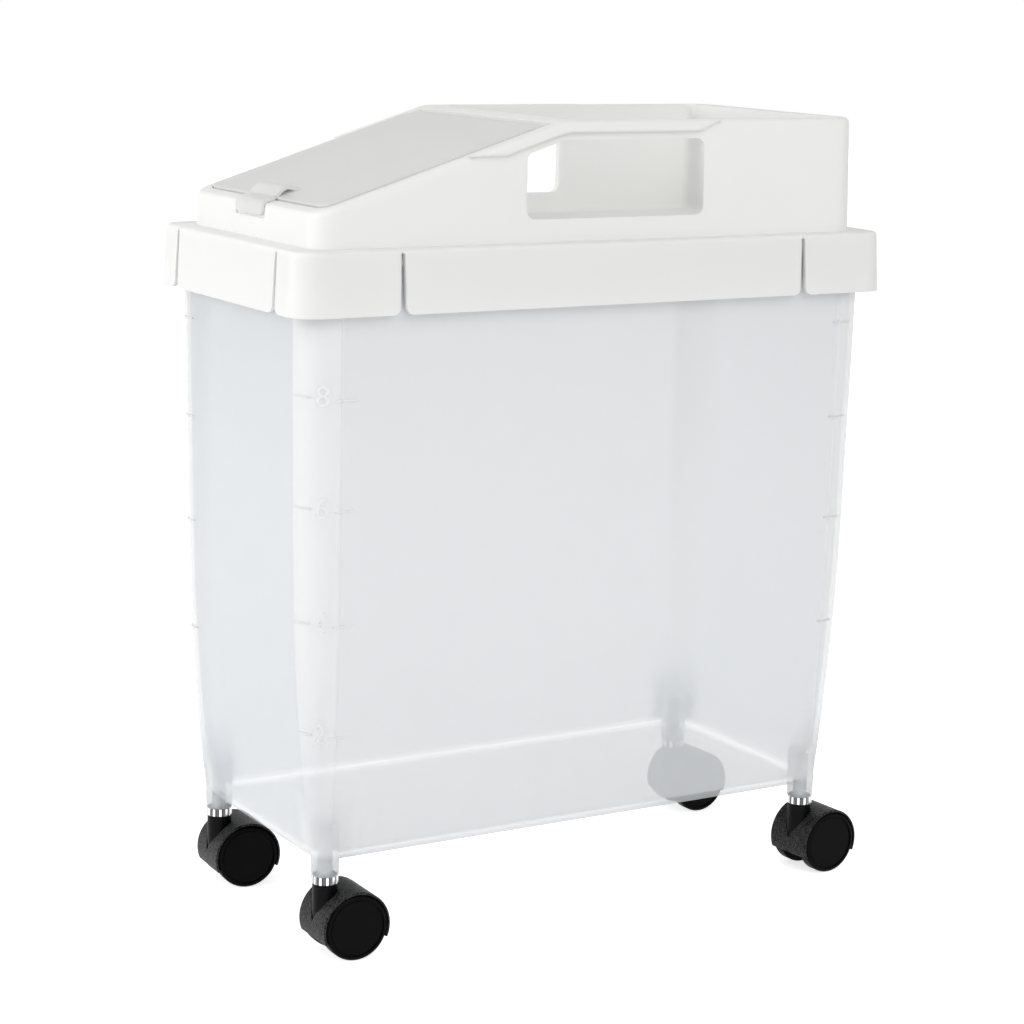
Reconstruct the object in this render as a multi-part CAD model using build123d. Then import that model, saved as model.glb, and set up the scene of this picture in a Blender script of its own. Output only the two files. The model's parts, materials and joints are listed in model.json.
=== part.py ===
from build123d import *
import math
import os

# Rolling pet food container, in millimetres. +Z is up and the flip lid faces -Y.
# Left is -X and right is +X, as seen from the front.
# The origin is on the floor, under the middle of the whole outline.

# Caster wheels and their axle
WHEEL_RADIUS = 20.0
WHEEL_WIDTH = 8.6
WHEEL_SPACING = 18.0
WHEEL_EDGE_ROUND = 2.0
WHEEL_INNER_ROUND = 0.8
WHEEL_GROOVE_RADIUS = 16.6
WHEEL_GROOVE_WIDTH = 0.8
WHEEL_GROOVE_DEPTH = 1.0
WHEEL_DISC_RECESS = 0.5
WHEEL_FACE_SKIN = 2.4
AXLE_DIAMETER = 5.0
AXLE_END_GAP = 0.6
AXLE_END_CHAMFER = 0.5

# Caster hood, which trails behind its stem
TRAIL = 13.3
HOOD_WALL = 1.3
HOOD_WHEEL_GAP = 0.5
HOOD_WIDTH = 34.6
HOOD_EDGE_ROUND = 0.8
HOOD_BELOW_AXLE = 8.0
WEB_THICKNESS = 6.0
AXLE_BOSS_RADIUS = 5.5
AXLE_BOSS_GAP = 0.4
STEM_BOSS_RADIUS = 7.4
STEM_BOSS_BELOW_AXLE = 4.0
STEM_BORE_FLOOR = 4.0
NECK_RISE = 3.4
NOTCH_HALF_WIDTH = 8.0
NOTCH_TOP_ABOVE_AXLE = 17.5
NOTCH_TIP_ABOVE_AXLE = 2.0

# Caster stem, its collar and its grip ring
STEM_JOURNAL_DIAMETER = 7.0
STEM_END_GAP = 0.5
SHANK_DIAMETER = 8.0
SHANK_LENGTH = 31.0
SHANK_CHAMFER = 0.8
COLLAR_RADIUS = 8.0
COLLAR_HEIGHT = 5.5
COLLAR_CHAMFER = 0.5
COLLAR_FLUTES = 12
COLLAR_FLUTE_RADIUS = 1.3
GRIP_RING_LENGTH = 6.0
GRIP_RING_SPLIT = 1.2
GRIP_RING_RISE = 8.0

# Fits
RUNNING_CLEARANCE = 0.05
SEATED_CLEARANCE = 0.02
SWIVEL_END_GAP = 0.3

# Rest angle of each caster about its stem, counter-clockwise from above
SWIVEL_FRONT_LEFT = -4.0
SWIVEL_FRONT_RIGHT = -1.0
SWIVEL_REAR_LEFT = 2.0
SWIVEL_REAR_RIGHT = 4.0

# Bin: walls with a draft from the rim down, which tuck in towards the foot
BIN_HEIGHT = 353.6
FOOT_EDGE = 3.0
FOOT_INSET = 2.5
FOOT_WIDTH = 161.8
FOOT_LENGTH = 364.8
FOOT_CORNER = 7.8
TOP_WIDTH = 184.5
TOP_LENGTH = 394.7
TOP_CORNER = 20.8
SIDE_DRAFT = 0.72
END_DRAFT = 0.61
TUCK_HEIGHT = 178.0
BIN_SECTIONS = 8
BIN_WALL = 2.5
FLOOR_ROUND = 4.0
COLUMN_STEP = 0.8
COLUMN_RAMP = 1.2
RIM_REACH = 1.5
RIM_THICKNESS = 3.0

# Stem bosses in the bin's corners
STEM_INSET_X = 7.1
STEM_INSET_Y = 8.4
BOSS_DROP = 9.2
BOSS_FOOT_DIAMETER = 16.4
BOSS_HEAD_DIAMETER = 17.6
BOSS_HEAD_ROUND = 1.5
SOCKET_DIAMETER = 9.0
SOCKET_END_GAP = 2.0
BOSS_CAP = 4.0

# Lid plate, seal and slit skirt
LID_SEAL_THICKNESS = 3.5
LID_SEAL_REACH = 0.5
LID_SEAL_WIDTH = 3.0
PLATE_THICKNESS = 3.0
SKIRT_HEIGHT = 37.0
SKIRT_REACH_X = 4.5
SKIRT_REACH_Y = 7.3
SKIRT_FLARE = 2.1
SKIRT_CORNER = 15.0
SKIRT_WALL = 2.6
SKIRT_EDGE_ROUND = 2.5
RIB_CLEARANCE = 0.6
RIB_THICKNESS = 2.0
RIB_DEPTH = 8.0
SLIT_TOP_WIDTH = 2.4
SLIT_FOOT_WIDTH = 3.8
SLIT_TOP_DROP = 2.0
SLIT_TOP_ROUND = 1.0
SLIT_FOOT_ROUND = 5.0
SLIT_FROM_CORNER_X = 30.2
SLIT_FROM_CORNER_Y = 64.5

# Raised part of the lid: front wedge, bridge and rear tray
LEDGE_X = 10.8
LEDGE_Y = 14.9
BODY_CORNER = 15.0
BODY_DRAFT = 2.05
BODY_RISE = 70.4
FRONT_RISE = 19.6
RIDGE_SETBACK = 162.5
RIDGE_ROUND = 30.0
BODY_EDGE_ROUND = 3.6
LID_WALL = 3.0
BRIDGE_FLAT = 11.0
BRIDGE_THICKNESS = 9.5
TUNNEL_LENGTH = 40.0
CHUTE_ROOF = 7.0
TRAY_CORNER = 4.0
TRAY_FLOOR_ROUND = 3.5
REAR_RIM = 13.7

# Hand-hold windows and the lips above them
WINDOW_SILL = 13.3
WINDOW_HEAD = 11.3
WINDOW_FROM_TUNNEL = 3.3
WINDOW_BEHIND_RIDGE = 98.8
WINDOW_CORNER = 5.5
LIP_REACH = 4.4
LIP_ROOT = 4.0
LIP_DEPTH = 7.3
LIP_BEFORE_RIDGE = 64.4
LIP_BEHIND_RIDGE = 110.5
LIP_REAR_RAMP = 17.0
LIP_REAR_ROUND = 14.0
LIP_EDGE_ROUND = 2.2

# Flip lid, measured along the slope from the front edge and square to the slope
FLAP_SIDE_MARGIN = 6.9
FLAP_FRONT = 9.4
FLAP_CORNER = 9.0
FLAP_THICKNESS = 2.4
FLAP_RISE = 1.2
FLAP_EDGE_ROUND = 0.8
FLAP_GAP = 1.4
HINGE_ALONG = 158.7
HINGE_LAND = 6.0
BARREL_RADIUS = 3.0
BARREL_GAP = 0.4
BRIDGE_STOP_GAP = 5.0
TRUNNION_DIAMETER = 3.6
TRUNNION_LENGTH = 3.6
TRUNNION_END_GAP = 0.3

# Pour opening under the flip lid, with the flip lid's seal round it
POUR_SIDE_MARGIN = 10.0
POUR_FRONT = 17.8
POUR_REAR = 131.0
POUR_CORNER = 6.0
FLAP_SEAL_MARGIN = 2.0
FLAP_SEAL_WIDTH = 3.0
FLAP_SEAL_THICKNESS = 1.8
FLAP_SEAL_GAP = 0.1

# Latch tab of the flip lid and its recess in the front wall
TAB_WIDTH = 34.4
TAB_THICKNESS = 2.0
TAB_ROOT = 26.6
TAB_CREST = 17.2
TAB_HUMP = 5.4
TAB_KNEE = 8.6
TAB_RIM_GAP = 0.3
TAB_CREST_ROUND = 6.0
TAB_KNEE_ROUND = 4.0
TAB_BEND_ROUND = 3.5
TAB_DROP = 6.0
TAB_CORNER = 3.0
TAB_WALL_GAP = 0.5
RECESS_SIDE_GAP = 2.2
RECESS_DEPTH = 1.2
RECESS_HEIGHT = 7.8

# Heights that follow from the stack of pieces
AXLE_Z = WHEEL_RADIUS
HOOD_RADIUS = WHEEL_RADIUS + HOOD_WHEEL_GAP + HOOD_WALL
COLLAR_Z = AXLE_Z + HOOD_RADIUS + NECK_RISE
BOSS_Z = COLLAR_Z + COLLAR_HEIGHT
SOCKET_DEPTH = SHANK_LENGTH - COLLAR_HEIGHT + SOCKET_END_GAP
BIN_Z = BOSS_Z + BOSS_DROP
RIM_Z = BIN_Z + BIN_HEIGHT
PLATE_Z = RIM_Z + LID_SEAL_THICKNESS
DECK_Z = PLATE_Z + PLATE_THICKNESS
TOP_Z = DECK_Z + BODY_RISE
FRONT_Z = DECK_Z + FRONT_RISE

# Places that follow from the plan
STEM_X = FOOT_WIDTH / 2 - STEM_INSET_X
STEM_Y = FOOT_LENGTH / 2 - STEM_INSET_Y
SKIN = COLUMN_STEP + BIN_WALL
DECK_WIDTH = TOP_WIDTH + 2 * SKIRT_REACH_X
DECK_LENGTH = TOP_LENGTH + 2 * SKIRT_REACH_Y
BODY_WIDTH = DECK_WIDTH - 2 * LEDGE_X
BODY_LENGTH = DECK_LENGTH - 2 * LEDGE_Y
BODY_TOP_WIDTH = BODY_WIDTH - 2 * BODY_DRAFT
BODY_TOP_LENGTH = BODY_LENGTH - 2 * BODY_DRAFT
BODY_TOP_CORNER = BODY_CORNER - BODY_DRAFT
HALL_WIDTH = BODY_TOP_WIDTH - 2 * LID_WALL
HALL_CORNER = BODY_TOP_CORNER - LID_WALL
FRONT_Y = BODY_DRAFT * FRONT_RISE / BODY_RISE - BODY_LENGTH / 2
RIDGE_Y = FRONT_Y + RIDGE_SETBACK
TRAY_FRONT_Y = RIDGE_Y + BRIDGE_FLAT
TRAY_REAR_Y = BODY_TOP_LENGTH / 2 - REAR_RIM
TUNNEL_FRONT_Y = TRAY_FRONT_Y - TUNNEL_LENGTH

# The slope of the wedge, with x across it, y up along it and z square to it
SLOPE_ANGLE = math.atan2(BODY_RISE - FRONT_RISE, RIDGE_SETBACK)
SLOPE = Plane(
    origin=(0, FRONT_Y, FRONT_Z),
    x_dir=(1, 0, 0),
    z_dir=(0, -math.sin(SLOPE_ANGLE), math.cos(SLOPE_ANGLE)),
).location
FLAP_WIDTH = BODY_TOP_WIDTH - 2 * FLAP_SIDE_MARGIN
REBATE_WIDTH = FLAP_WIDTH + 2 * FLAP_GAP
REBATE_DEPTH = FLAP_THICKNESS + FLAP_SEAL_THICKNESS
POUR_WIDTH = FLAP_WIDTH - 2 * POUR_SIDE_MARGIN

# A reach past the whole lid, for cuts that run out into the open
BEYOND = BODY_LENGTH


def slope_height(y):
    """Height of the wedge's top at a place along the container."""
    return FRONT_Z + (y - FRONT_Y) * math.tan(SLOPE_ANGLE)


def upright(width, length, corner, low, high, y=0.0):
    """Upright block with a rounded-rectangle plan."""
    return extrude(Pos(0, y, low) * RectangleRounded(width, length, corner), high - low)


def along_x(radius, length):
    """Cylinder lying along X, centred on the origin."""
    return Rot(0, 90, 0) * Cylinder(radius, length)


def side_prism(points, half_width, rounding=0.0):
    """Prism across the container from a Y-Z outline."""
    outline = make_face(Polyline(*points, close=True))
    if rounding:
        outline = fillet(outline.vertices(), rounding)
    return extrude(Plane.YZ * outline, half_width, both=True)


def above_slope(depth):
    """Everything above the plane that lies a depth under the wedge's slope."""
    block = Box(BEYOND, 2 * BEYOND, BEYOND, align=(Align.CENTER, Align.CENTER, Align.MIN))
    return SLOPE * Pos(0, 0, -depth) * block


def column_outline(width, length, corner):
    """Bin section: four rounded corner columns with a recessed flat between each two."""
    half_x = width / 2
    half_y = length / 2
    run_x = half_x - corner
    run_y = half_y - corner
    bulge = corner * math.sqrt(0.5)
    edges = []
    for turn in (1, -1):
        long_side = [
            (half_x, -run_y),
            (half_x - COLUMN_STEP, COLUMN_RAMP - run_y),
            (half_x - COLUMN_STEP, run_y - COLUMN_RAMP),
            (half_x, run_y),
        ]
        short_side = [
            (run_x, half_y),
            (run_x - COLUMN_RAMP, half_y - COLUMN_STEP),
            (COLUMN_RAMP - run_x, half_y - COLUMN_STEP),
            (-run_x, half_y),
        ]
        next_corner = (-half_x, run_y)
        arcs = [
            (long_side[-1], (run_x + bulge, run_y + bulge), short_side[0]),
            (short_side[-1], (-run_x - bulge, run_y + bulge), next_corner),
        ]
        for side, arc in zip((long_side, short_side), arcs):
            edges += Polyline(*[(turn * x, turn * y) for x, y in side]).edges()
            edges += ThreePointArc(*[(turn * x, turn * y) for x, y in arc]).edges()
    return Face(Wire(edges))


def tucked(top, foot, draft, height):
    """Outside size of the bin at a height, from its size at the rim and at the foot."""
    taper = 2 * math.tan(math.radians(draft))
    tuck = top - taper * (BIN_HEIGHT - FOOT_EDGE) - foot
    share = max(0.0, 1 - (height - FOOT_EDGE) / (TUCK_HEIGHT - FOOT_EDGE))
    return top - taper * (BIN_HEIGHT - height) - tuck * share**2


def make_bin():
    """Frosted tub with corner columns, a rim and a boss for each caster stem."""
    outside = []
    inside = []
    for step in range(BIN_SECTIONS):
        share = step / (BIN_SECTIONS - 1)
        height = FOOT_EDGE + (BIN_HEIGHT - FOOT_EDGE) * share
        width = tucked(TOP_WIDTH, FOOT_WIDTH, SIDE_DRAFT, height)
        length = tucked(TOP_LENGTH, FOOT_LENGTH, END_DRAFT, height)
        corner = tucked(TOP_CORNER, FOOT_CORNER, 0, height)
        place = Pos(0, 0, BIN_Z + height)
        hollow = RectangleRounded(width - 2 * SKIN, length - 2 * SKIN, corner - SKIN)
        outside.append(place * column_outline(width, length, corner))
        inside.append(place * hollow)
    underside = Pos(0, 0, BIN_Z) * column_outline(
        FOOT_WIDTH - 2 * FOOT_INSET, FOOT_LENGTH - 2 * FOOT_INSET, FOOT_CORNER - FOOT_INSET
    )
    tub = loft(outside) + loft([underside, outside[0]], ruled=True)
    tub += upright(
        TOP_WIDTH + 2 * RIM_REACH,
        TOP_LENGTH + 2 * RIM_REACH,
        TOP_CORNER + RIM_REACH,
        RIM_Z - RIM_THICKNESS,
        RIM_Z,
    )
    cavity = loft(inside)
    tub -= fillet(cavity.edges().group_by(Axis.Z)[0], FLOOR_ROUND)
    boss = Cone(
        BOSS_FOOT_DIAMETER / 2,
        BOSS_HEAD_DIAMETER / 2,
        SOCKET_DEPTH + BOSS_CAP,
        align=(Align.CENTER, Align.CENTER, Align.MIN),
    )
    boss = fillet(boss.edges().sort_by(Axis.Z)[-1], BOSS_HEAD_ROUND)
    socket = Cylinder(
        SOCKET_DIAMETER / 2, SOCKET_DEPTH, align=(Align.CENTER, Align.CENTER, Align.MIN)
    )
    for place in GridLocations(2 * STEM_X, 2 * STEM_Y, 2, 2):
        tub += Pos(0, 0, BOSS_Z) * place * boss
    for place in GridLocations(2 * STEM_X, 2 * STEM_Y, 2, 2):
        tub -= Pos(0, 0, BOSS_Z) * place * socket
    return tub


def make_lid_seal():
    """Soft ring between the bin's rim and the lid's plate."""
    ring = []
    for reach in (LID_SEAL_REACH, LID_SEAL_REACH - LID_SEAL_WIDTH):
        ring.append(
            upright(TOP_WIDTH + 2 * reach, TOP_LENGTH + 2 * reach, TOP_CORNER + reach, RIM_Z, PLATE_Z)
        )
    return ring[0] - ring[1]


def slit_cutter():
    """Slit through a skirt wall, standing in the X-Z plane with its centre line on Z."""
    foot_z = DECK_Z - SKIRT_HEIGHT
    top_z = DECK_Z - SLIT_TOP_DROP
    below = 2 * SLIT_FOOT_ROUND
    half_top = SLIT_TOP_WIDTH / 2
    half_foot = SLIT_FOOT_WIDTH / 2
    flare = half_foot + below
    right = [(half_top, top_z), (half_foot, foot_z), (flare, foot_z), (flare, foot_z - below)]
    left = [(-x, z) for x, z in reversed(right)]
    outline = make_face(Polyline(*right, *left, close=True))
    rows = outline.vertices().group_by(Axis.Y)
    outline = fillet(rows[-1], SLIT_TOP_ROUND)
    feet = [v for v in outline.vertices() if abs(abs(v.X) - half_foot) < SEATED_CLEARANCE]
    outline = fillet(feet, SLIT_FOOT_ROUND)
    return extrude(Plane.XZ * outline, SKIRT_WALL + SKIRT_FLARE, both=True)


def make_skirt():
    """Lid plate with its flared skirt, eight slits and the rib that centres it in the bin."""
    foot_z = DECK_Z - SKIRT_HEIGHT
    foot_width = DECK_WIDTH + 2 * SKIRT_FLARE
    foot_length = DECK_LENGTH + 2 * SKIRT_FLARE
    foot_corner = SKIRT_CORNER + SKIRT_FLARE
    shell = loft(
        [
            Pos(0, 0, foot_z) * RectangleRounded(foot_width, foot_length, foot_corner),
            Pos(0, 0, DECK_Z) * RectangleRounded(DECK_WIDTH, DECK_LENGTH, SKIRT_CORNER),
        ],
        ruled=True,
    )
    shell = fillet(shell.edges().group_by(Axis.Z)[-1], SKIRT_EDGE_ROUND)
    wall = 2 * SKIRT_WALL
    shell -= loft(
        [
            Pos(0, 0, foot_z)
            * RectangleRounded(foot_width - wall, foot_length - wall, foot_corner - SKIRT_WALL),
            Pos(0, 0, PLATE_Z)
            * RectangleRounded(DECK_WIDTH - wall, DECK_LENGTH - wall, SKIRT_CORNER - SKIRT_WALL),
        ],
        ruled=True,
    )
    slit = slit_cutter()
    slit_x = DECK_WIDTH / 2 - SLIT_FROM_CORNER_X
    slit_y = DECK_LENGTH / 2 - SLIT_FROM_CORNER_Y
    for place in GridLocations(2 * slit_x, DECK_LENGTH, 2, 2):
        shell -= place * slit
    for place in GridLocations(DECK_WIDTH, 2 * slit_y, 2, 2):
        shell -= place * Rot(0, 0, 90) * slit
    for inset, cut in ((RIB_CLEARANCE, False), (RIB_CLEARANCE + RIB_THICKNESS, True)):
        rib = upright(
            TOP_WIDTH - 2 * (SKIN + inset),
            TOP_LENGTH - 2 * (SKIN + inset),
            TOP_CORNER - SKIN - inset,
            PLATE_Z - RIB_DEPTH,
            PLATE_Z,
        )
        shell = shell - rib if cut else shell + rib
    return shell


def make_body_block():
    """Outside of the lid's raised part, with its ridge and top edges rounded."""
    block = loft(
        [
            Pos(0, 0, PLATE_Z) * RectangleRounded(BODY_WIDTH, BODY_LENGTH, BODY_CORNER),
            Pos(0, 0, TOP_Z) * RectangleRounded(BODY_TOP_WIDTH, BODY_TOP_LENGTH, BODY_TOP_CORNER),
        ],
        ruled=True,
    )
    block -= above_slope(0)
    across = block.edges().filter_by(Axis.X)
    ridge = [e for e in across if abs(e.center().Y - RIDGE_Y) < RIDGE_ROUND and e.center().Z > FRONT_Z]
    block = fillet(ridge, RIDGE_ROUND)
    rim = []
    for edge in block.edges():
        centre = edge.center()
        level = abs(edge.tangent_at(0.5).Z) < math.cos(SLOPE_ANGLE)
        seam = abs(centre.X) < BODY_EDGE_ROUND and abs(centre.Y - RIDGE_Y) < RIDGE_ROUND
        if level and not seam and centre.Z > PLATE_Z + BODY_EDGE_ROUND:
            rim.append(edge)
    return fillet(rim, BODY_EDGE_ROUND)


def make_lips():
    """Finger lips that stand out above the two hand-hold windows."""
    front_y = RIDGE_Y - LIP_BEFORE_RIDGE
    rear_y = RIDGE_Y + LIP_BEHIND_RIDGE
    front_z = slope_height(front_y)
    under_z = TOP_Z - LIP_DEPTH
    heel_y = RIDGE_Y - (under_z - front_z) / math.tan(SLOPE_ANGLE)
    outline = [
        (front_y, front_z),
        (heel_y, front_z),
        (RIDGE_Y, under_z),
        (rear_y - LIP_REAR_RAMP, under_z),
        (rear_y, TOP_Z),
        (RIDGE_Y, TOP_Z),
    ]
    profile = make_face(Polyline(*outline, close=True))
    knees = [v for v in profile.vertices() if abs(v.X - RIDGE_Y) < SEATED_CLEARANCE]
    profile = fillet(knees, RIDGE_ROUND)
    ramp = profile.vertices().sort_by_distance((rear_y - LIP_REAR_RAMP, under_z))[0]
    profile = fillet(ramp, LIP_REAR_ROUND)
    lip = extrude(Plane.YZ.offset(BODY_TOP_WIDTH / 2 - LIP_ROOT) * profile, LIP_ROOT + LIP_REACH)
    lip = fillet(lip.faces().sort_by(Axis.X)[-1].edges(), LIP_EDGE_ROUND)
    return [lip, mirror(lip, Plane.YZ)]


def make_window():
    """Cut for the hand-hold windows, through both long walls."""
    front_y = TUNNEL_FRONT_Y + WINDOW_FROM_TUNNEL
    rear_y = RIDGE_Y + WINDOW_BEHIND_RIDGE
    sill_z = DECK_Z + WINDOW_SILL
    head_z = TOP_Z - WINDOW_HEAD
    outline = [
        (front_y, sill_z),
        (rear_y, sill_z),
        (rear_y, head_z),
        (RIDGE_Y, head_z),
        (front_y, slope_height(front_y) - WINDOW_HEAD),
    ]
    return side_prism(outline, BODY_WIDTH, WINDOW_CORNER)


def flap_plan(width, front, rear, corner):
    """Panel outline on the slope, with its two front corners rounded."""
    plan = Pos(0, (front + rear) / 2) * Rectangle(width, rear - front)
    return fillet(plan.vertices().group_by(Axis.Y)[0], corner)


def ring_plan(grow):
    """Pour opening's outline on the slope, grown all round."""
    return Pos(0, (POUR_FRONT + POUR_REAR) / 2) * RectangleRounded(
        POUR_WIDTH + 2 * grow, POUR_REAR - POUR_FRONT + 2 * grow, POUR_CORNER + grow
    )


def hinge_round(radius, width):
    """Cylinder on the flip lid's hinge axis, in the slope's frame."""
    return Pos(0, HINGE_ALONG, -BARREL_RADIUS) * along_x(radius, width)


def make_hollows():
    """Everything cut out of the lid: tray, rear channel, tunnel, chute, rebate, hinge and windows."""
    tray_length = TRAY_REAR_Y - TRAY_FRONT_Y
    tray = upright(
        HALL_WIDTH, tray_length, TRAY_CORNER, DECK_Z, TOP_Z + BEYOND, (TRAY_FRONT_Y + TRAY_REAR_Y) / 2
    )
    tray = fillet(tray.edges().group_by(Axis.Z)[0], TRAY_FLOOR_ROUND)
    channel_depth = REAR_RIM - 2 * LID_WALL
    channel = extrude(
        Pos(0, TRAY_REAR_Y + REAR_RIM / 2, PLATE_Z)
        * SlotOverall(HALL_WIDTH - 2 * HALL_CORNER + channel_depth, channel_depth),
        TOP_Z - LID_WALL - PLATE_Z,
    )
    roof_z = TOP_Z - BRIDGE_THICKNESS
    tunnel_rear_y = TRAY_FRONT_Y + TRAY_CORNER
    tunnel = Pos(0, (TUNNEL_FRONT_Y + tunnel_rear_y) / 2, DECK_Z) * Box(
        HALL_WIDTH,
        tunnel_rear_y - TUNNEL_FRONT_Y,
        roof_z - DECK_Z,
        align=(Align.CENTER, Align.CENTER, Align.MIN),
    )
    tunnel -= above_slope(BRIDGE_THICKNESS)
    chute_front_y = FRONT_Y + LID_WALL
    chute_rear_y = TUNNEL_FRONT_Y - LID_WALL
    chute_length = chute_rear_y - chute_front_y
    chute_y = (chute_front_y + chute_rear_y) / 2
    chute = upright(HALL_WIDTH, chute_length, HALL_CORNER, PLATE_Z, TOP_Z, chute_y)
    chute -= above_slope(CHUTE_ROOF)
    rebate = extrude(
        Pos(0, 0, -REBATE_DEPTH)
        * flap_plan(
            REBATE_WIDTH, FLAP_FRONT - FLAP_GAP, HINGE_ALONG + BRIDGE_STOP_GAP, FLAP_CORNER + FLAP_GAP
        ),
        REBATE_DEPTH + BODY_RISE,
    )
    trough = hinge_round(BARREL_RADIUS + BARREL_GAP, REBATE_WIDTH)
    bearings = hinge_round(
        TRUNNION_DIAMETER / 2 + RUNNING_CLEARANCE,
        FLAP_WIDTH + 2 * (TRUNNION_LENGTH + TRUNNION_END_GAP),
    )
    pour = extrude(Pos(0, 0, -BRIDGE_THICKNESS) * ring_plan(0), BRIDGE_THICKNESS)
    recess = Pos(0, FRONT_Y + RECESS_DEPTH, FRONT_Z - RECESS_HEIGHT) * Box(
        TAB_WIDTH + 2 * RECESS_SIDE_GAP,
        BODY_CORNER,
        BODY_RISE,
        align=(Align.CENTER, Align.MAX, Align.MIN),
    )
    on_slope = [SLOPE * cut for cut in (rebate, trough, bearings, pour)]
    return [tray, channel, tunnel, chute, make_window(), recess] + on_slope


def make_lid():
    """White lid moulding in one piece."""
    lid = make_skirt() + make_body_block()
    for lip in make_lips():
        lid += lip
    for hollow in make_hollows():
        lid -= hollow
    return lid


def make_tab():
    """Latch tab: a strip that arches off the panel, crosses the rim and hangs over the front wall."""
    middle = TAB_THICKNESS / 2
    hang_y = FRONT_Y + RECESS_DEPTH - TAB_WALL_GAP - middle
    along = Vector(0, math.cos(SLOPE_ANGLE), math.sin(SLOPE_ANGLE))
    square = Vector(0, -math.sin(SLOPE_ANGLE), math.cos(SLOPE_ANGLE))
    corner = Vector(0, FRONT_Y, FRONT_Z)
    root = corner + along * TAB_ROOT - square * middle
    crest = corner + along * TAB_CREST + square * TAB_HUMP
    over_rim = TAB_RIM_GAP + middle
    knee = corner + along * TAB_KNEE + square * over_rim
    bend_z = slope_height(hang_y) + over_rim / math.cos(SLOPE_ANGLE)
    path = FilletPolyline(
        (root.Y, root.Z),
        (crest.Y, crest.Z),
        (knee.Y, knee.Z),
        (hang_y, bend_z),
        (hang_y, FRONT_Z - TAB_DROP),
        radius=[TAB_CREST_ROUND, TAB_KNEE_ROUND, TAB_BEND_ROUND],
    )
    strip = extrude(Plane.YZ * trace(path, TAB_THICKNESS), TAB_WIDTH / 2, both=True)
    foot = strip.edges().filter_by(Axis.Y).group_by(Axis.Z)[0]
    return fillet(foot, TAB_CORNER)


def make_flip_lid():
    """Frosted flip lid: panel raised before its hinge, barrel with two trunnions, and the latch tab."""
    plan = flap_plan(FLAP_WIDTH, FLAP_FRONT, HINGE_ALONG, FLAP_CORNER)
    flap = extrude(Pos(0, 0, -FLAP_THICKNESS) * plan, FLAP_THICKNESS)
    raised = extrude(flap_plan(FLAP_WIDTH, FLAP_FRONT, HINGE_ALONG - HINGE_LAND, FLAP_CORNER), FLAP_RISE)
    flap += fillet(raised.faces().sort_by(Axis.Z)[-1].edges(), FLAP_EDGE_ROUND)
    flap += hinge_round(BARREL_RADIUS, FLAP_WIDTH)
    flap += hinge_round(TRUNNION_DIAMETER / 2, FLAP_WIDTH + 2 * TRUNNION_LENGTH)
    return SLOPE * flap + make_tab()


def make_flip_lid_seal():
    """Soft ring under the flip lid, round the pour opening."""
    ring = ring_plan(FLAP_SEAL_MARGIN + FLAP_SEAL_WIDTH) - ring_plan(FLAP_SEAL_MARGIN)
    thickness = FLAP_SEAL_THICKNESS - FLAP_SEAL_GAP
    return SLOPE * extrude(Pos(0, 0, -FLAP_THICKNESS - thickness) * ring, thickness)


def make_wheel(side):
    """One wheel of a twin caster; side is 1 for the right wheel and -1 for the left."""
    inner = WHEEL_SPACING / 2
    outer = inner + WHEEL_WIDTH
    bore = AXLE_DIAMETER / 2 + RUNNING_CLEARANCE
    bore_end = outer - WHEEL_FACE_SKIN
    groove = WHEEL_GROOVE_RADIUS + WHEEL_GROOVE_WIDTH
    outline = [
        (inner, bore),
        (inner, WHEEL_RADIUS),
        (outer, WHEEL_RADIUS),
        (outer, groove),
        (outer - WHEEL_GROOVE_DEPTH, groove),
        (outer - WHEEL_GROOVE_DEPTH, WHEEL_GROOVE_RADIUS),
        (outer - WHEEL_DISC_RECESS, WHEEL_GROOVE_RADIUS),
        (outer - WHEEL_DISC_RECESS, 0),
        (bore_end, 0),
        (bore_end, bore),
    ]
    half = make_face(Polyline(*outline, close=True))
    tread = half.vertices().group_by(Axis.Y)[-1].sort_by(Axis.X)
    half = fillet(tread[-1], WHEEL_EDGE_ROUND)
    inner_corner = half.vertices().group_by(Axis.Y)[-1].sort_by(Axis.X)[0]
    half = fillet(inner_corner, WHEEL_INNER_ROUND)
    wheel = revolve(half, Axis.X)
    if side < 0:
        wheel = mirror(wheel, Plane.YZ)
    return Pos(0, TRAIL, AXLE_Z) * wheel


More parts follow.
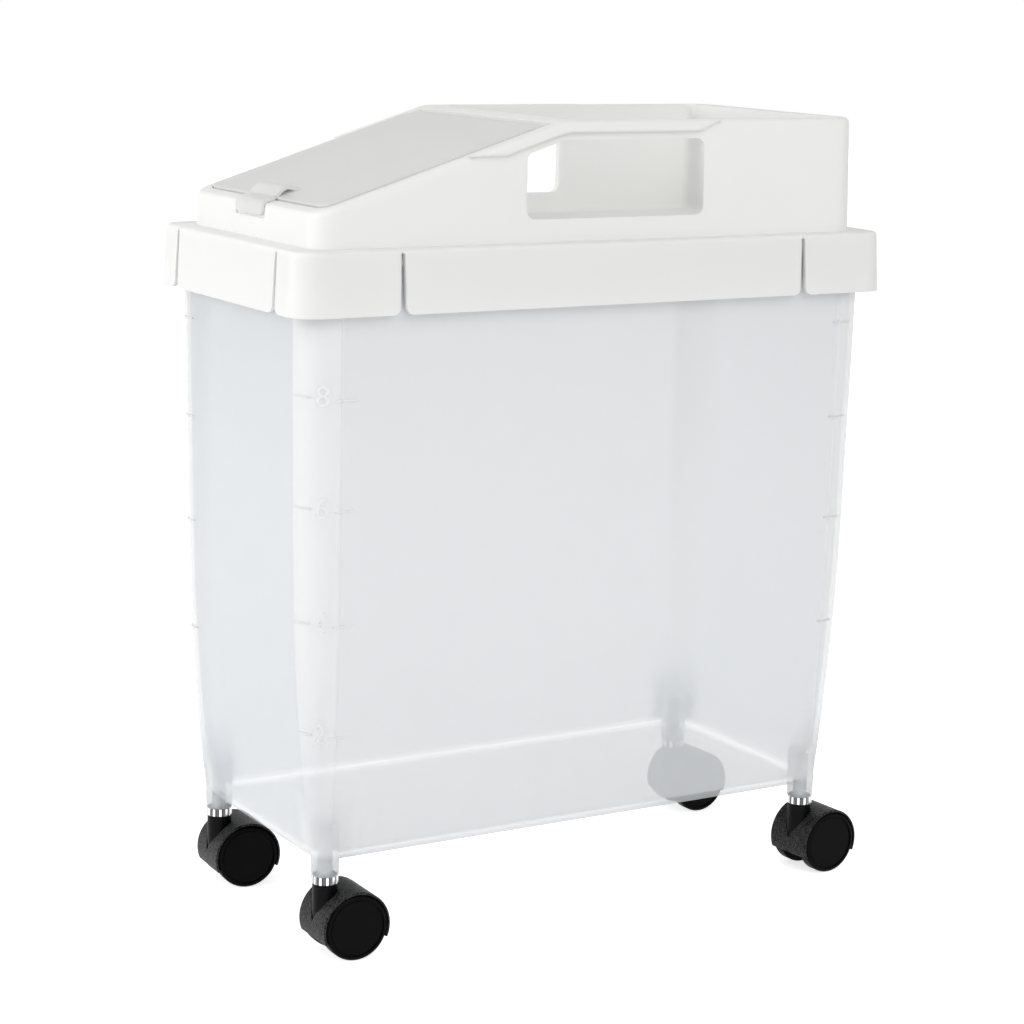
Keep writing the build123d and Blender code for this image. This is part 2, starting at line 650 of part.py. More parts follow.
def make_hood():
    """Caster hood: a drum open below, with a web, an axle boss, a stem boss and a front notch."""
    centre = Pos(0, TRAIL, AXLE_Z)
    inner_radius = HOOD_RADIUS - HOOD_WALL
    drum = along_x(HOOD_RADIUS, HOOD_WIDTH)
    drum = fillet(drum.edges().filter_by(GeomType.CIRCLE), HOOD_EDGE_ROUND)
    hood = drum - along_x(inner_radius, HOOD_WIDTH) + along_x(inner_radius, WEB_THICKNESS)
    hood += along_x(AXLE_BOSS_RADIUS, WHEEL_SPACING - 2 * AXLE_BOSS_GAP)
    open_below = Pos(0, 0, -HOOD_BELOW_AXLE) * Box(
        HOOD_WIDTH, 2 * HOOD_RADIUS, HOOD_RADIUS, align=(Align.CENTER, Align.CENTER, Align.MAX)
    )
    hood = centre * (hood - open_below)
    notch_top = AXLE_Z + NOTCH_TOP_ABOVE_AXLE
    notch = make_face(
        Polyline(
            (-NOTCH_HALF_WIDTH, notch_top),
            (NOTCH_HALF_WIDTH, notch_top),
            (0, AXLE_Z + NOTCH_TIP_ABOVE_AXLE),
            close=True,
        )
    )
    hood -= extrude(Plane.XZ * notch, HOOD_RADIUS)
    seat_z = COLLAR_Z - SWIVEL_END_GAP
    boss_z = AXLE_Z - STEM_BOSS_BELOW_AXLE
    standing = (Align.CENTER, Align.CENTER, Align.MIN)
    hood += Pos(0, 0, boss_z) * Cylinder(STEM_BOSS_RADIUS, seat_z - boss_z, align=standing)
    bore_z = boss_z + STEM_BORE_FLOOR
    hood -= Pos(0, 0, bore_z) * Cylinder(
        STEM_JOURNAL_DIAMETER / 2 + RUNNING_CLEARANCE, seat_z - bore_z, align=standing
    )
    return hood - centre * along_x(AXLE_DIAMETER / 2 + SEATED_CLEARANCE, HOOD_WIDTH)


def make_axle():
    """Steel pin through the hood's web, with a wheel on each end."""
    length = WHEEL_SPACING + 2 * (WHEEL_WIDTH - WHEEL_FACE_SKIN - AXLE_END_GAP)
    axle = along_x(AXLE_DIAMETER / 2, length)
    axle = chamfer(axle.edges().filter_by(GeomType.CIRCLE), AXLE_END_CHAMFER)
    return Pos(0, TRAIL, AXLE_Z) * axle


def make_stem():
    """Plated pin: a journal for the hood below and a shank for the bin's boss above."""
    standing = (Align.CENTER, Align.CENTER, Align.MIN)
    foot_z = AXLE_Z - STEM_BOSS_BELOW_AXLE + STEM_BORE_FLOOR + STEM_END_GAP
    stem = Pos(0, 0, foot_z) * Cylinder(STEM_JOURNAL_DIAMETER / 2, COLLAR_Z - foot_z, align=standing)
    stem += Pos(0, 0, COLLAR_Z) * Cylinder(SHANK_DIAMETER / 2, SHANK_LENGTH, align=standing)
    return chamfer(stem.edges().sort_by(Axis.Z)[-1], SHANK_CHAMFER)


def make_collar():
    """Plated ring with a fluted edge, between the hood and the bin's boss."""
    standing = (Align.CENTER, Align.CENTER, Align.MIN)
    ring = Cylinder(COLLAR_RADIUS, COLLAR_HEIGHT, align=standing)
    ring = chamfer(ring.edges().filter_by(GeomType.CIRCLE), COLLAR_CHAMFER)
    flute = Cylinder(COLLAR_FLUTE_RADIUS, COLLAR_HEIGHT, align=standing)
    for place in PolarLocations(COLLAR_RADIUS, COLLAR_FLUTES):
        ring -= place * flute
    ring -= Cylinder(SHANK_DIAMETER / 2 + SEATED_CLEARANCE, COLLAR_HEIGHT, align=standing)
    return Pos(0, 0, COLLAR_Z) * ring


def make_grip_ring():
    """Split spring ring that holds the stem in the boss's socket."""
    standing = (Align.CENTER, Align.CENTER, Align.MIN)
    outer = SOCKET_DIAMETER / 2 - SEATED_CLEARANCE
    ring = Cylinder(outer, GRIP_RING_LENGTH, align=standing)
    ring -= Cylinder(SHANK_DIAMETER / 2 + SEATED_CLEARANCE, GRIP_RING_LENGTH, align=standing)
    ring -= Box(
        GRIP_RING_SPLIT, SOCKET_DIAMETER, GRIP_RING_LENGTH, align=(Align.CENTER, Align.MIN, Align.MIN)
    )
    return Pos(0, 0, BOSS_Z + GRIP_RING_RISE) * ring


def make_casters():
    """The four casters' pieces, each turned to its rest angle on its stem place."""
    pieces = {
        "stem": make_stem(),
        "collar": make_collar(),
        "grip_ring": make_grip_ring(),
        "hood": make_hood(),
        "axle": make_axle(),
        "left_wheel": make_wheel(-1),
        "right_wheel": make_wheel(1),
    }
    corners = {
        "front_left": (-STEM_X, -STEM_Y, SWIVEL_FRONT_LEFT),
        "front_right": (STEM_X, -STEM_Y, SWIVEL_FRONT_RIGHT),
        "rear_left": (-STEM_X, STEM_Y, SWIVEL_REAR_LEFT),
        "rear_right": (STEM_X, STEM_Y, SWIVEL_REAR_RIGHT),
    }
    placed = {}
    for corner, (x, y, angle) in corners.items():
        for piece, shape in pieces.items():
            placed[f"{corner}_{piece}"] = Pos(x, y, 0) * Rot(0, 0, angle) * shape
    return placed


nodes = {
    "bin": make_bin(),
    "lid": make_lid(),
    "lid_seal": make_lid_seal(),
    "flip_lid": make_flip_lid(),
    "flip_lid_seal": make_flip_lid_seal(),
}
nodes.update(make_casters())

# The rear casters stand out behind the lid, so the outline's middle is not the bin's
boxes = [shape.bounding_box() for shape in nodes.values()]
outline_y = (min(box.min.Y for box in boxes) + max(box.max.Y for box in boxes)) / 2

os.makedirs("parts", exist_ok=True)
for name, shape in nodes.items():
    export_step(Pos(0, -outline_y, 0) * shape, f"parts/{name}.step")

hinge = SLOPE * Pos(0, HINGE_ALONG, -BARREL_RADIUS)
print(f"outline middle {outline_y:.3f}, stems at {STEM_X:.3f}, {STEM_Y:.3f}")
print(f"hinge axis at y {hinge.position.Y - outline_y:.3f}, z {hinge.position.Z:.3f}")
print(f"deck z {DECK_Z:.3f}, top z {TOP_Z:.3f}, slope {math.degrees(SLOPE_ANGLE):.3f} degrees")
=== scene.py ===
# %% [markdown]
# A rolling container for dry pet food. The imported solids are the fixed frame: the frosted bin, the white
# lid with its flip lid and rear tray, and four twin-wheel casters. This lesson gives each of them its
# finish, adds the moulded filling scale on the bin's corner columns, and sets the light and the camera.

# %% Load the frame
import json
import math

import bmesh
import bpy
from mathutils import Matrix, Vector
from mathutils.bvhtree import BVHTree


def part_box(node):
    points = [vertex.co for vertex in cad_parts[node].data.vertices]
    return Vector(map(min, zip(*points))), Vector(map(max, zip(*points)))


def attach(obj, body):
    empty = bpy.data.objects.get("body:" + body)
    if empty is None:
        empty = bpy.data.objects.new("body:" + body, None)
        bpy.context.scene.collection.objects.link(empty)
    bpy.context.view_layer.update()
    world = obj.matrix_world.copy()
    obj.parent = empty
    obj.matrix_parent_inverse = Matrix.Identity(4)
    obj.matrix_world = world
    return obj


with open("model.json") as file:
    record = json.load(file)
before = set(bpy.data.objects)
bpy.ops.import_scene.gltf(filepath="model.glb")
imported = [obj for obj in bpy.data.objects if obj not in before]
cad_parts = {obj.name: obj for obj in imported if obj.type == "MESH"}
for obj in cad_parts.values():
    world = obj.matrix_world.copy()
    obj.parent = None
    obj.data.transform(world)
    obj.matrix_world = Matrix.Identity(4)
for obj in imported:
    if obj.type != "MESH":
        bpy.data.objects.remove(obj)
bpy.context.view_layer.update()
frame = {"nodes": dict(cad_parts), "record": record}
nodes = frame["nodes"]

# %% [markdown]
# Shader maths reads best as plain arithmetic. A Socket wraps one output of a node, and each operator on it
# adds a Math node. A Graph is a node tree with one way of adding nodes: their settings first, and then the
# values or links of their sockets. A Finish is the graph of one material. The container is the same at its
# four corners, so a finish that changes near a corner works with distances from the bin's middle.

# %% Shader arithmetic
bin_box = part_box("bin")
stem_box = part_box("rear_right_stem")
MIDDLE_Y = 0.5 * (bin_box[0].y + bin_box[1].y)
STEM_X = 0.5 * (stem_box[0].x + stem_box[1].x)
STEM_Y = 0.5 * (stem_box[0].y + stem_box[1].y) - MIDDLE_Y


class Socket:
    """One output in a node tree."""

    def __init__(self, graph, output):
        self.graph = graph
        self.output = output

    def math(self, operation, first, second):
        return self.graph.node("ShaderNodeMath", {"operation": operation}, {0: first, 1: second})

    def __add__(self, other):
        return self.math("ADD", self, other)

    def __sub__(self, other):
        return self.math("SUBTRACT", self, other)

    def __rsub__(self, other):
        return self.math("SUBTRACT", other, self)

    def __mul__(self, other):
        return self.math("MULTIPLY", self, other)

    __radd__ = __add__
    __rmul__ = __mul__


class Graph:
    """A node tree, and one way of adding nodes to it."""

    def __init__(self, tree):
        self.tree = tree

    def put(self, node, sockets):
        for key, value in sockets.items():
            if isinstance(value, Socket):
                self.tree.links.new(value.output, node.inputs[key])
            else:
                node.inputs[key].default_value = value

    def node(self, kind, settings, sockets, output=0):
        made = self.tree.nodes.new(kind)
        for key, value in settings.items():
            setattr(made, key, value)
        self.put(made, sockets)
        return Socket(self, made.outputs[output])

    def seen(self):
        """One for what is seen straight, mirrored or through the plastic, and zero for the light."""
        straight = self.node("ShaderNodeLightPath", {}, {}, "Is Camera Ray")
        mirrored = self.node("ShaderNodeLightPath", {}, {}, "Is Glossy Ray")
        through = self.node("ShaderNodeLightPath", {}, {}, "Is Transmission Ray")
        direct = straight.math("MAXIMUM", straight, mirrored)
        return direct.math("MAXIMUM", direct, through)

    def blend(self, factor, first, second):
        colours = [side if isinstance(side, Socket) else (*side, 1.0) for side in (first, second)]
        sockets = {0: factor, 6: colours[0], 7: colours[1]}
        return self.node("ShaderNodeMix", {"data_type": "RGBA"}, sockets, 2)


class Finish(Graph):
    """A material with a Principled surface."""

    def __init__(self, name):
        self.material = bpy.data.materials.new(name)
        self.material.use_nodes = True
        super().__init__(self.material.node_tree)
        self.surface = self.tree.nodes["Principled BSDF"]

    def place(self):
        return self.node("ShaderNodeTexCoord", {}, {}, "Object")

    def along(self, axis):
        return self.node("ShaderNodeSeparateXYZ", {}, {"Vector": self.place()}, axis)

    def facing_up(self):
        normal = self.node("ShaderNodeTexCoord", {}, {}, "Normal")
        return self.node("ShaderNodeSeparateXYZ", {}, {"Vector": normal}, "Z")

    def ramp(self, value, low, high):
        """Zero below the low value, one above the high one, and smooth between."""
        sockets = {"Value": value, "From Min": low, "From Max": high}
        return self.node("ShaderNodeMapRange", {"interpolation_type": "SMOOTHSTEP"}, sockets)

    def quarter(self):
        """Distances from the bin's middle in X and Y, the same for its four corners."""
        x = self.along("X")
        y = self.along("Y") - MIDDLE_Y
        return x.math("ABSOLUTE", x, 0.0), y.math("ABSOLUTE", y, 0.0)

    def stem_distance(self):
        """Distance from the axis of the nearest caster stem."""
        x, y = self.quarter()
        across = x - STEM_X
        onward = y - STEM_Y
        square = across * across + onward * onward
        return square.math("SQRT", square, 0.0)

    def noise(self, scale, detail=3.0):
        sockets = {"Vector": self.place(), "Scale": scale, "Detail": detail}
        return self.node("ShaderNodeTexNoise", {}, sockets)

    def bump(self, height, distance):
        return self.node("ShaderNodeBump", {}, {"Height": height, "Distance": distance, "Strength": 1.0})


# %% [markdown]
# The lid is satin white polypropylene. Such a moulding is never one flat white: the colour drifts a little
# over a hand's width, the sheen changes where the mould was polished, and a very fine grain breaks up the
# highlights. Light also seeps a few millimetres into it, which softens its edges and fills the tray.

# %% White lid
white = Finish("satin_white")
drift = white.noise(9.0)
grain = white.noise(1600.0, 2.0)
white.put(white.surface, {
    "Base Color": white.blend(drift, (0.87, 0.87, 0.855), (0.9, 0.9, 0.89)),
    "Roughness": 0.4 + 0.1 * white.noise(40.0),
    "Normal": white.bump(grain, 0.00003),
    "Specular IOR Level": 0.25,
    "Subsurface Weight": 0.6,
    "Subsurface Radius": (1.0, 1.0, 0.95),
    "Subsurface Scale": 0.004,
})
print("finish", white.material.name)

# %% [markdown]
# The bin is milky translucent plastic. More than half of the light goes straight on through a wall and the
# rest is scattered with a cold tint, so the far corner, the floor and a caster show through as pale shapes.
# Where the moulding is thick, in the rim, the corner columns and the stem bosses, less light gets through.
# The rim is what the lid's skirt covers. In the boss stubs, below the bin's floor, the stem still shows. The
# floor is thin. The round between it and the walls is made nearly clear, so that it shows as a bright line:
# a painted highlight for the light that the round catches.

# %% Regions of the bin
SKIRT_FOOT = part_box("lid")[0].z
RIM_FADE = 0.003
STUB_LENGTH = 0.0092
FLOOR_BOTTOM = bin_box[0].z + STUB_LENGTH
STUB_FADE = (FLOOR_BOTTOM - 0.001, FLOOR_BOTTOM + 0.006)
ROUND_TOP = FLOOR_BOTTOM + 0.008
ROUND_FADE = 0.001
BOSS_ROOF = 0.006
BOSS_TOP = stem_box[1].z + BOSS_ROOF
FOOT_FADE = (BOSS_TOP - 0.01, BOSS_TOP + 0.03)
FOOT_REACH = (0.02, 0.006)
COLUMN_FADE = 0.004
COLUMN_END = STEM_Y - 0.001
END_WALL = STEM_Y + 0.004
COLUMN_LIGHT_FROM = 0.06
COLUMN_LIGHT_TO = 0.2
FLAT_SLOPE = (0.9, 0.99)
ROUND_SLOPE = (0.1, 0.3)
frosted = Finish("frosted_plastic")
height = frosted.along("Z")
across, onward = frosted.quarter()
facing = frosted.facing_up()
rim = frosted.ramp(height, SKIRT_FOOT - RIM_FADE, SKIRT_FOOT + RIM_FADE)
column = frosted.ramp(across, STEM_X - COLUMN_FADE, STEM_X)
column = column * frosted.ramp(onward, COLUMN_END, COLUMN_END + COLUMN_FADE)
# The end walls take a painted shade: a darker, bluer tint, because they get less light.
shaded_end_wall = frosted.ramp(onward, END_WALL, END_WALL + COLUMN_FADE)
near_stem = frosted.ramp(across, *(STEM_X - reach for reach in FOOT_REACH))
near_stem = near_stem * frosted.ramp(onward, *(STEM_Y - reach for reach in FOOT_REACH))
stub = 1.0 - frosted.ramp(height, *STUB_FADE)
foot = near_stem * (1.0 - stub) * (1.0 - frosted.ramp(height, *FOOT_FADE))
low = 1.0 - frosted.ramp(height, ROUND_TOP, ROUND_TOP + ROUND_FADE)
flat = low * frosted.ramp(facing, *FLAT_SLOPE)
# The round between the floor and the walls, made nearly clear below: a painted highlight.
round_highlight = low * frosted.ramp(facing, *ROUND_SLOPE) - flat
print("bin floor at", round(FLOOR_BOTTOM, 4), "boss tops at", round(BOSS_TOP, 4))

# %% [markdown]
# With the regions known, the tint is laid on from the most general to the most local, and the share of light
# that is held back, the milk, adds up from what each region holds back.

# %% Frosted bin
cloud = frosted.noise(7.0)
etch = frosted.noise(1400.0, 2.0)
wall = frosted.blend(cloud, (0.9, 0.92, 0.945), (0.925, 0.942, 0.962))
# Painted shade: the end walls are tinted darker and bluer.
wall = frosted.blend(shaded_end_wall, wall, (0.83, 0.855, 0.89))
# Painted light: the corner columns are tinted whiter towards the top, for the light that shines through
# them.
lit_column = column * frosted.ramp(height, COLUMN_LIGHT_FROM, COLUMN_LIGHT_TO)
wall = frosted.blend(lit_column, wall, (0.97, 0.975, 0.98))
wall = frosted.blend(flat, wall, (0.95, 0.97, 1.0))
wall = frosted.blend(foot, wall, (0.86, 0.875, 0.895))
milk = 0.36 + 0.05 * frosted.noise(5.0)
milk = milk + 0.4 * column * height + 0.44 * rim + 0.28 * foot + 0.08 * stub
frosted.put(frosted.surface, {
    "Base Color": frosted.blend(stub, wall, (0.69, 0.715, 0.735)),
    "Roughness": 0.3 + 0.1 * frosted.noise(30.0),
    "Normal": frosted.bump(etch, 0.00002),
    "Alpha": milk * (1.0 - 0.9 * round_highlight - 0.2 * flat),
    "Specular IOR Level": 0.25,
})
print("finish", frosted.material.name)

# %% [markdown]
# The flip lid is the same kind of plastic, a little greyer and more strongly etched.

# %% Frosted flip lid
panel = Finish("frosted_panel")
cloud = panel.noise(12.0)
etch = panel.noise(1500.0, 2.0)
panel.put(panel.surface, {
    "Base Color": panel.blend(cloud, (0.86, 0.86, 0.85), (0.88, 0.88, 0.87)),
    "Roughness": 0.3 + 0.12 * panel.noise(35.0),
    "Normal": panel.bump(etch, 0.00003),
    "Alpha": 0.74 + 0.08 * panel.noise(6.0),
    "Specular IOR Level": 0.22,
})
print("finish", panel.material.name)

# %% [markdown]
# The seals are pale silicone, soft and without gloss.

# %% Seals
soft = Finish("pale_silicone")
soft.put(soft.surface, {
    "Base Color": soft.blend(soft.noise(60.0), (0.8, 0.8, 0.79), (0.86, 0.86, 0.85)),
    "Roughness": 0.62 + 0.1 * soft.noise(200.0),
    "Normal": soft.bump(soft.noise(2500.0, 1.0), 0.00003),
})
print("finish", soft.material.name)

# %% [markdown]
# The stems and collars are bright plated steel, with faint streaks from rolling and small dull spots. The
# flutes of the collars, which lie between 6.7 and 8 mm from the stem's axis, are painted dark: painted shade
# in their hollows.

# %% Plated steel
FLUTE_ROOT = (0.0055, 0.0062)
FLUTE_TIP = (0.007, 0.0079)
plated = Finish("bright_plate")
spots = plated.noise(900.0, 4.0)
radius = plated.stem_distance()
# The flutes are painted dark: painted shade in their hollows.
shaded_flute = plated.ramp(radius, *FLUTE_ROOT) * (1.0 - plated.ramp(radius, *FLUTE_TIP))
plate = plated.blend(spots, (0.86, 0.87, 0.89), (0.96, 0.965, 0.975))
plated.put(plated.surface, {
    "Base Color": plated.blend(shaded_flute, plate, (0.12, 0.12, 0.125)),
    "Metallic": 1.0,
    "Roughness": 0.12 + 0.16 * spots,
    "Normal": plated.bump(plated.noise(1800.0), 0.00004),
})
steel = Finish("drawn_steel")
lines = steel.noise(2200.0, 2.0)
steel.put(steel.surface, {
    "Base Color": steel.blend(lines, (0.46, 0.46, 0.47), (0.6, 0.6, 0.61)),
    "Metallic": 1.0,
    "Roughness": 0.26 + 0.16 * lines,
    "Normal": steel.bump(lines, 0.00004),
})
print("finishes", plated.material.name, steel.material.name)

# %% [markdown]
# The caster hoods are black plastic with the coarse grain of a spark-eroded mould on the drum, and a smooth
# neck round the stem. The tips of the grain on the drum are painted lighter: painted glints. The wheels are
# smooth too, and pick up a trace of dust.

# %% Black plastics
NECK_FADE = (0.0074, 0.008)
GLINT_TIPS = (0.5, 0.7)
grained = Finish("grained_black")
pebbles = grained.node(
    "ShaderNodeTexVoronoi", {"feature": "SMOOTH_F1"},
    {"Vector": grained.place(), "Scale": 800.0, "Smoothness": 0.4},
)
fine = grained.noise(2600.0, 2.0)
drum = grained.ramp(grained.stem_distance(), *NECK_FADE)
# The tips of the grain are painted lighter: painted glints.
glint_tips = drum * grained.ramp(pebbles + 0.3 * fine, *GLINT_TIPS)
grained.put(grained.surface, {
    "Base Color": grained.blend(glint_tips, (0.0025, 0.0025, 0.0027), (0.041, 0.041, 0.042)),
    "Roughness": 0.34 + 0.14 * fine,
    "Normal": grained.bump(drum * (pebbles + 0.5 * fine), 0.0003),
    "Specular IOR Level": 0.08,
})
smooth = Finish("smooth_black")
dust = smooth.noise(120.0, 5.0)
smooth.put(smooth.surface, {
    "Base Color": smooth.blend(dust, (0.0015, 0.0015, 0.0017), (0.003, 0.003, 0.003)),
    "Roughness": 0.34 + 0.16 * dust,
    "Normal": smooth.bump(smooth.noise(1500.0), 0.00003),
    "Specular IOR Level": 0.05,
})
print("finishes", grained.material.name, smooth.material.name)

# %% [markdown]
# Each solid already has the right shape, so it only takes its finish. The record names a slot for every
# node, and each slot has one finish here.

# %% Finishes on the solids
finish_of_slot = {
    "white_lid": white,
    "frosted_bin": frosted,
    "frosted_flip_lid": panel,
    "soft_seal": soft,
    "plated_steel": plated,
    "spring_steel": steel,
    "axle_steel": steel,
    "caster_black": grained,
    "wheel_black": smooth,
}
for part in frame["record"]["subparts"]:
    mesh = nodes[part["node"]].data
    mesh.materials.clear()
    mesh.materials.append(finish_of_slot[part["material_slot"]].material)

# %% [markdown]
# The filling scale is moulded on the bin's corner columns as thin raised marks. A column is a rounded,
# slightly leaning surface, so each mark is made flat and then laid on: every point is sent towards the
# column's middle until it meets the bin, and is lifted off by its own thickness.

# %% Laying a flat mark on a column
bin_tree = BVHTree.FromObject(nodes["bin"], bpy.context.evaluated_depsgraph_get())
COLUMN_INSET = 0.021
RIM_REACH = 0.0015
MARK_RISE = 0.0005
MARK_SINK = 0.0004
RAY_START = 0.1


def column_middle(side, end):
    """Middle of a corner column in plan; side and end are -1 or 1."""
    inset = RIM_REACH + COLUMN_INSET
    x = side * (bin_box[1].x - inset)
    y = MIDDLE_Y + end * (bin_box[1].y - MIDDLE_Y - inset)
    return Vector((x, y, 0.0))


def lay_on_column(flat, side, end, turn, height):
    """Wraps a flat mesh round a column: x runs round it, y runs up and z stands off it."""
    middle = column_middle(side, end)
    for vert in flat.verts:
        angle = turn + vert.co.x / COLUMN_INSET
        outward = Vector((math.cos(angle), math.sin(angle), 0.0))
        core = Vector((middle.x, middle.y, height + vert.co.y))
        hit, normal, _, _ = bin_tree.ray_cast(core + outward * RAY_START, -outward)
        vert.co = hit + normal * vert.co.z


def add_piece(name, mesh_maker, finish):
    """Turns a finished bmesh into an object with one finish."""
    mesh = bpy.data.meshes.new(name)
    mesh_maker.to_mesh(mesh)
    mesh_maker.free()
    piece = bpy.data.objects.new(name, mesh)
    bpy.context.scene.collection.objects.link(piece)
    mesh.materials.append(finish.material)
    return piece


print("bin from", bin_box[0].z, "to", bin_box[1].z)

# %% [markdown]
# A tick is a flat bar, cut across often enough to bend round the column. The front right column carries the
# figured scale, with a tick before each figure and a fainter one after it, and two more columns carry plain
# ticks. A place is given as an angle round the column, in degrees from +X, with the height and the length of
# the bar.

# %% Ticks
TICK_HEIGHT = 0.0012
TICK_BEVEL = 0.0002
TICK_CUTS = 7
SCALE_TICK = 0.014
PLAIN_TICK = 0.0135
FIGURE_HEIGHTS = (0.3373, 0.2732, 0.2057, 0.1388)
PLAIN_HEIGHTS = (0.3640, 0.3038, 0.2387, 0.1705)
AFTER_DROP = 0.0023
SHARP = 0.5
BEFORE_ANGLE = -68.0
AFTER_ANGLE = 12.0
LEFT_ANGLE = -92.5
REAR_ANGLE = 2.5
# The ticks are tinted greyer than the bin: painted shade along the raised marks.
shaded_marks = Finish("scale_ticks")
shaded_marks.put(shaded_marks.surface, {
    "Base Color": shaded_marks.blend(shaded_marks.noise(300.0), (0.74, 0.745, 0.75), (0.78, 0.785, 0.79)),
    "Roughness": 0.45 + 0.1 * shaded_marks.noise(800.0),
})
# The figures and the ticks after them take a fainter painted shade.
faintly_shaded_marks = Finish("scale_figures")
faintly_shaded_marks.put(faintly_shaded_marks.surface, {
    "Base Color": faintly_shaded_marks.blend(faintly_shaded_marks.noise(300.0), (0.85, 0.855, 0.86), (0.88, 0.885, 0.89)),
    "Roughness": 0.45 + 0.1 * faintly_shaded_marks.noise(800.0),
})


def flat_bar(length, height, thickness):
    """A bar lying in the X-Y plane, divided along its length."""
    bar = bmesh.new()
    bmesh.ops.create_cube(bar, size=1.0)
    bmesh.ops.scale(bar, vec=(length, height, thickness), verts=bar.verts)
    long_edges = [e for e in bar.edges if abs(e.verts[0].co.x - e.verts[1].co.x) > 0.5 * length]
    bmesh.ops.subdivide_edges(bar, edges=long_edges, cuts=TICK_CUTS, use_grid_fill=True)
    corners = [e for e in bar.edges if e.calc_face_angle(0.0) > SHARP]
    bmesh.ops.bevel(
        bar, geom=corners, offset=TICK_BEVEL, segments=2, profile=0.5, affect="EDGES", material=-1
    )
    return bar


def join_into(total, extra):
    """Adds one bmesh to another."""
    mesh = bpy.data.meshes.new("part")
    extra.to_mesh(mesh)
    extra.free()
    total.from_mesh(mesh)
    bpy.data.meshes.remove(mesh)


def add_ticks(name, side, end, angle, length, heights, finish):
    """One column's row of ticks, as one piece."""
    ticks = bmesh.new()
    for height in heights:
        bar = flat_bar(length, TICK_HEIGHT, MARK_RISE + MARK_SINK)
        bmesh.ops.translate(bar, vec=(0.0, 0.0, 0.5 * (MARK_RISE - MARK_SINK)), verts=bar.verts)
        lay_on_column(bar, side, end, math.radians(angle), height)
        join_into(ticks, bar)
    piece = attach(add_piece(name, ticks, finish), "bin")
    print(name, len(piece.data.polygons), "faces")


after = [height - AFTER_DROP for height in FIGURE_HEIGHTS]
add_ticks("front_right_ticks", 1, -1, BEFORE_ANGLE, SCALE_TICK, FIGURE_HEIGHTS, shaded_marks)
add_ticks("front_right_after_ticks", 1, -1, AFTER_ANGLE, SCALE_TICK, after, faintly_shaded_marks)
add_ticks("front_left_ticks", -1, -1, LEFT_ANGLE, PLAIN_TICK, PLAIN_HEIGHTS, shaded_marks)
add_ticks("rear_right_ticks", 1, 1, REAR_ANGLE, PLAIN_TICK, PLAIN_HEIGHTS, shaded_marks)

# %% [markdown]
# The figures beside the ticks are text, turned into a mesh of triangles and laid on in the same way. Their
# strokes are narrow, so they follow the column without more cuts.

# %% Figures
FIGURE_SIZE = 0.0172
FIGURE_ANGLE = math.radians(-29.0)
CURVE_STEPS = 6
WELD = 0.00001


def figure_bmesh(text):
    """A raised figure, centred, lying in the X-Y plane."""
    curve = bpy.data.curves.new("figure", "FONT")
    curve.body = text
    curve.size = FIGURE_SIZE
    curve.align_x = "CENTER"
    curve.align_y = "CENTER"
    curve.extrude = 0.5 * (MARK_RISE + MARK_SINK)
    curve.resolution_u = CURVE_STEPS
    holder = bpy.data.objects.new("figure", curve)
    bpy.context.scene.collection.objects.link(holder)
    bpy.context.view_layer.update()
    shown = holder.evaluated_get(bpy.context.evaluated_depsgraph_get())
    mesh = bpy.data.meshes.new_from_object(shown)
    made = bmesh.new()
    made.from_mesh(mesh)
    bpy.data.objects.remove(holder)
    bpy.data.curves.remove(curve)
    bpy.data.meshes.remove(mesh)
    bmesh.ops.remove_doubles(made, verts=made.verts, dist=WELD)
    bmesh.ops.triangulate(made, faces=made.faces)
    bmesh.ops.translate(made, vec=(0.0, 0.0, 0.5 * (MARK_RISE - MARK_SINK)), verts=made.verts)
    return made


figures = bmesh.new()
for text, figure_height in zip("8642", FIGURE_HEIGHTS):
    figure = figure_bmesh(text)
    lay_on_column(figure, 1, -1, FIGURE_ANGLE, figure_height)
    join_into(figures, figure)
bmesh.ops.recalc_face_normals(figures, faces=figures.faces)
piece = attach(add_piece("front_right_figures", figures, faintly_shaded_marks), "bin")
print(piece.name, len(piece.data.polygons), "faces")

# %% [markdown]
# The camera stands where the photograph was taken from: a little above the lid, off the front right corner,
# with a long lens. Its turn comes from the direction it looks in and a slight roll.

# %% Camera
AZIMUTH = math.radians(58.77)
ELEVATION = math.radians(11.17)
ROLL = math.radians(1.36)
DISTANCE = 1.70685
FOCAL_PIXELS = 2703.72
FRAME_PIXELS = 1024
SHIFT_PIXELS = (-4.82, -7.43)
SENSOR_WIDTH = 36.0
AIM = Vector((0.0, -0.001709, 0.2447))
AIM_SLIDE = -0.00252
back = Vector((
    math.sin(AZIMUTH) * math.cos(ELEVATION),
    -math.cos(AZIMUTH) * math.cos(ELEVATION),
    math.sin(ELEVATION),
))
level = Vector((math.cos(AZIMUTH), math.sin(AZIMUTH), 0.0))
upward = back.cross(level)
right = level * math.cos(ROLL) + upward * math.sin(ROLL)
up = upward * math.cos(ROLL) - level * math.sin(ROLL)
aim = AIM + level * AIM_SLIDE
lens = bpy.data.cameras.new("camera")
lens.sensor_width = SENSOR_WIDTH
lens.lens = lens.sensor_width * FOCAL_PIXELS / FRAME_PIXELS
lens.shift_x = SHIFT_PIXELS[0] / FRAME_PIXELS
lens.shift_y = SHIFT_PIXELS[1] / FRAME_PIXELS
camera = bpy.data.objects.new("camera", lens)
bpy.context.scene.collection.objects.link(camera)
turn = Matrix((right, up, back)).transposed().to_4x4()
camera.matrix_world = Matrix.Translation(aim + back * DISTANCE) @ turn
bpy.context.scene.camera = camera
bpy.context.scene.view_settings.view_transform = "Standard"
print("camera at", [round(v, 3) for v in camera.location], "lens", round(lens.lens, 1))

# %% [markdown]
# The room is a white studio. The world gives soft light from all round, weaker towards the ceiling, because
# in the photograph the faces that look up are the darkest, and weaker from the rear. What is seen of the
# world, straight, mirrored or through the frosted walls, is plain white.

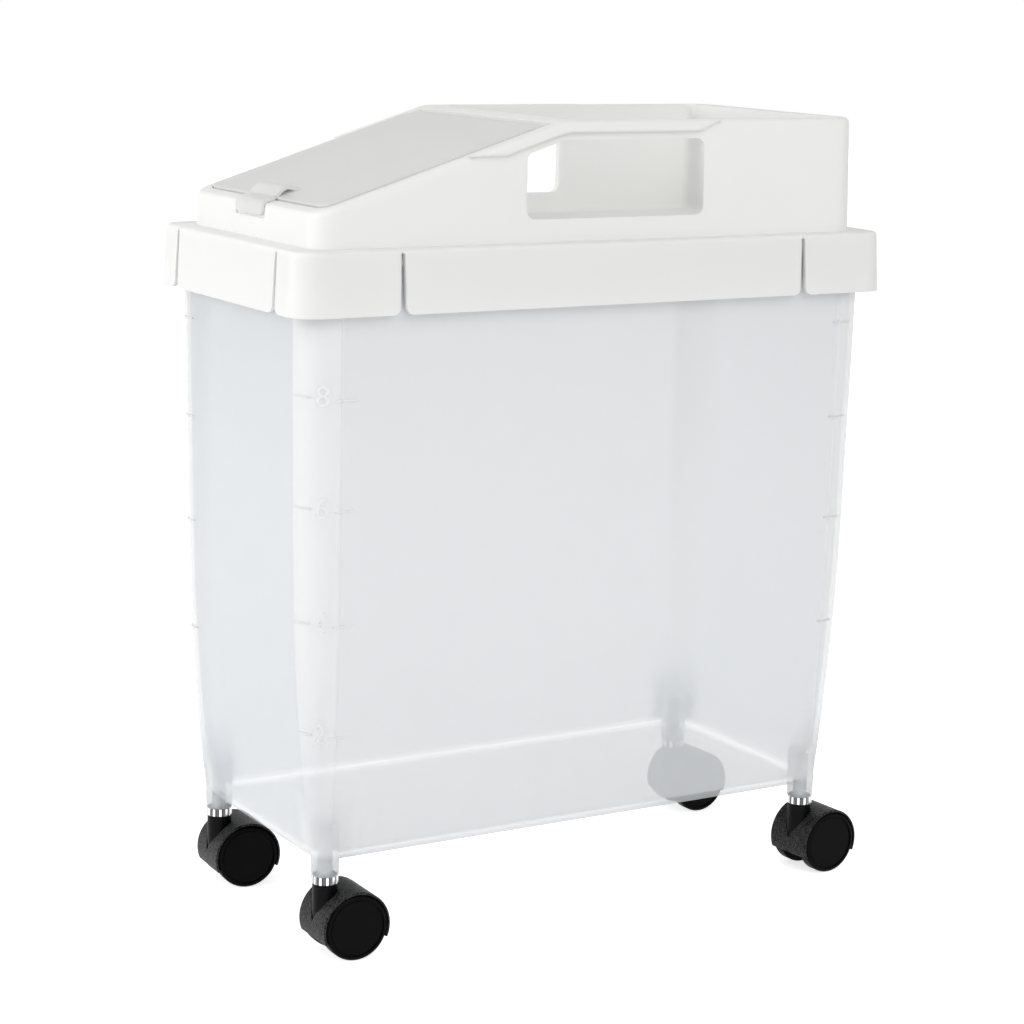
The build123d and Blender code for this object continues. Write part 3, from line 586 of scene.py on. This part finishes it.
# %% Light from the room
REAR_SHARE = 0.6
world = bpy.data.worlds.new("studio")
bpy.context.scene.world = world
world.use_nodes = True
studio = Graph(world.node_tree)
direction = studio.node("ShaderNodeTexCoord", {}, {}, "Generated")
rise = studio.node("ShaderNodeSeparateXYZ", {}, {"Vector": direction}, "Z")
rear = studio.node("ShaderNodeSeparateXYZ", {}, {"Vector": direction}, "Y")
light = studio.blend(rise, (0.7, 0.7, 0.7), (0.38, 0.38, 0.38))
light = studio.blend(REAR_SHARE * rear, light, (0.4, 0.4, 0.4))
studio.put(world.node_tree.nodes["Background"], {
    "Color": studio.blend(studio.seen(), light, (1.0, 1.0, 1.0)),
    "Strength": 1.0,
})
print("world", world.name)

# %% [markdown]
# One large lamp stands low off the front left, and a weaker one off the right side. Both are wide squares,
# so the shadows stay soft. The floor is a plain pale sheet that takes the shadow. Where it is seen, it also
# glows a little, so that it meets the white of the world.

# %% Lamps and floor
LAMP_TARGET = Vector((0.0, 0.0, 0.28))
FRONT_LAMP = Vector((-0.8, -2.3, 1.05))
SIDE_LAMP = Vector((2.0, -0.4, 1.65))
FLOOR_REACH = 6.0


def add_lamp(name, place, size, power):
    """A square soft lamp that faces the container."""
    source = bpy.data.lights.new(name, "AREA")
    source.size = size
    source.energy = power
    lamp = bpy.data.objects.new(name, source)
    bpy.context.scene.collection.objects.link(lamp)
    lamp.location = place
    lamp.rotation_euler = (LAMP_TARGET - place).to_track_quat("-Z", "Y").to_euler()


add_lamp("front_lamp", FRONT_LAMP, size=1.4, power=24.6)
add_lamp("side_lamp", SIDE_LAMP, size=1.6, power=20.5)
ground = bmesh.new()
bmesh.ops.create_grid(ground, x_segments=1, y_segments=1, size=FLOOR_REACH)
pale = Finish("pale_floor")
pale.put(pale.surface, {
    "Base Color": (0.9, 0.9, 0.9, 1.0),
    "Roughness": 0.9,
    "Emission Color": pale.blend(pale.seen(), (0.0, 0.0, 0.0), (0.7, 0.7, 0.7)),
    "Emission Strength": 1.0,
})
floor = add_piece("floor", ground, pale)
print("lamps and floor set")
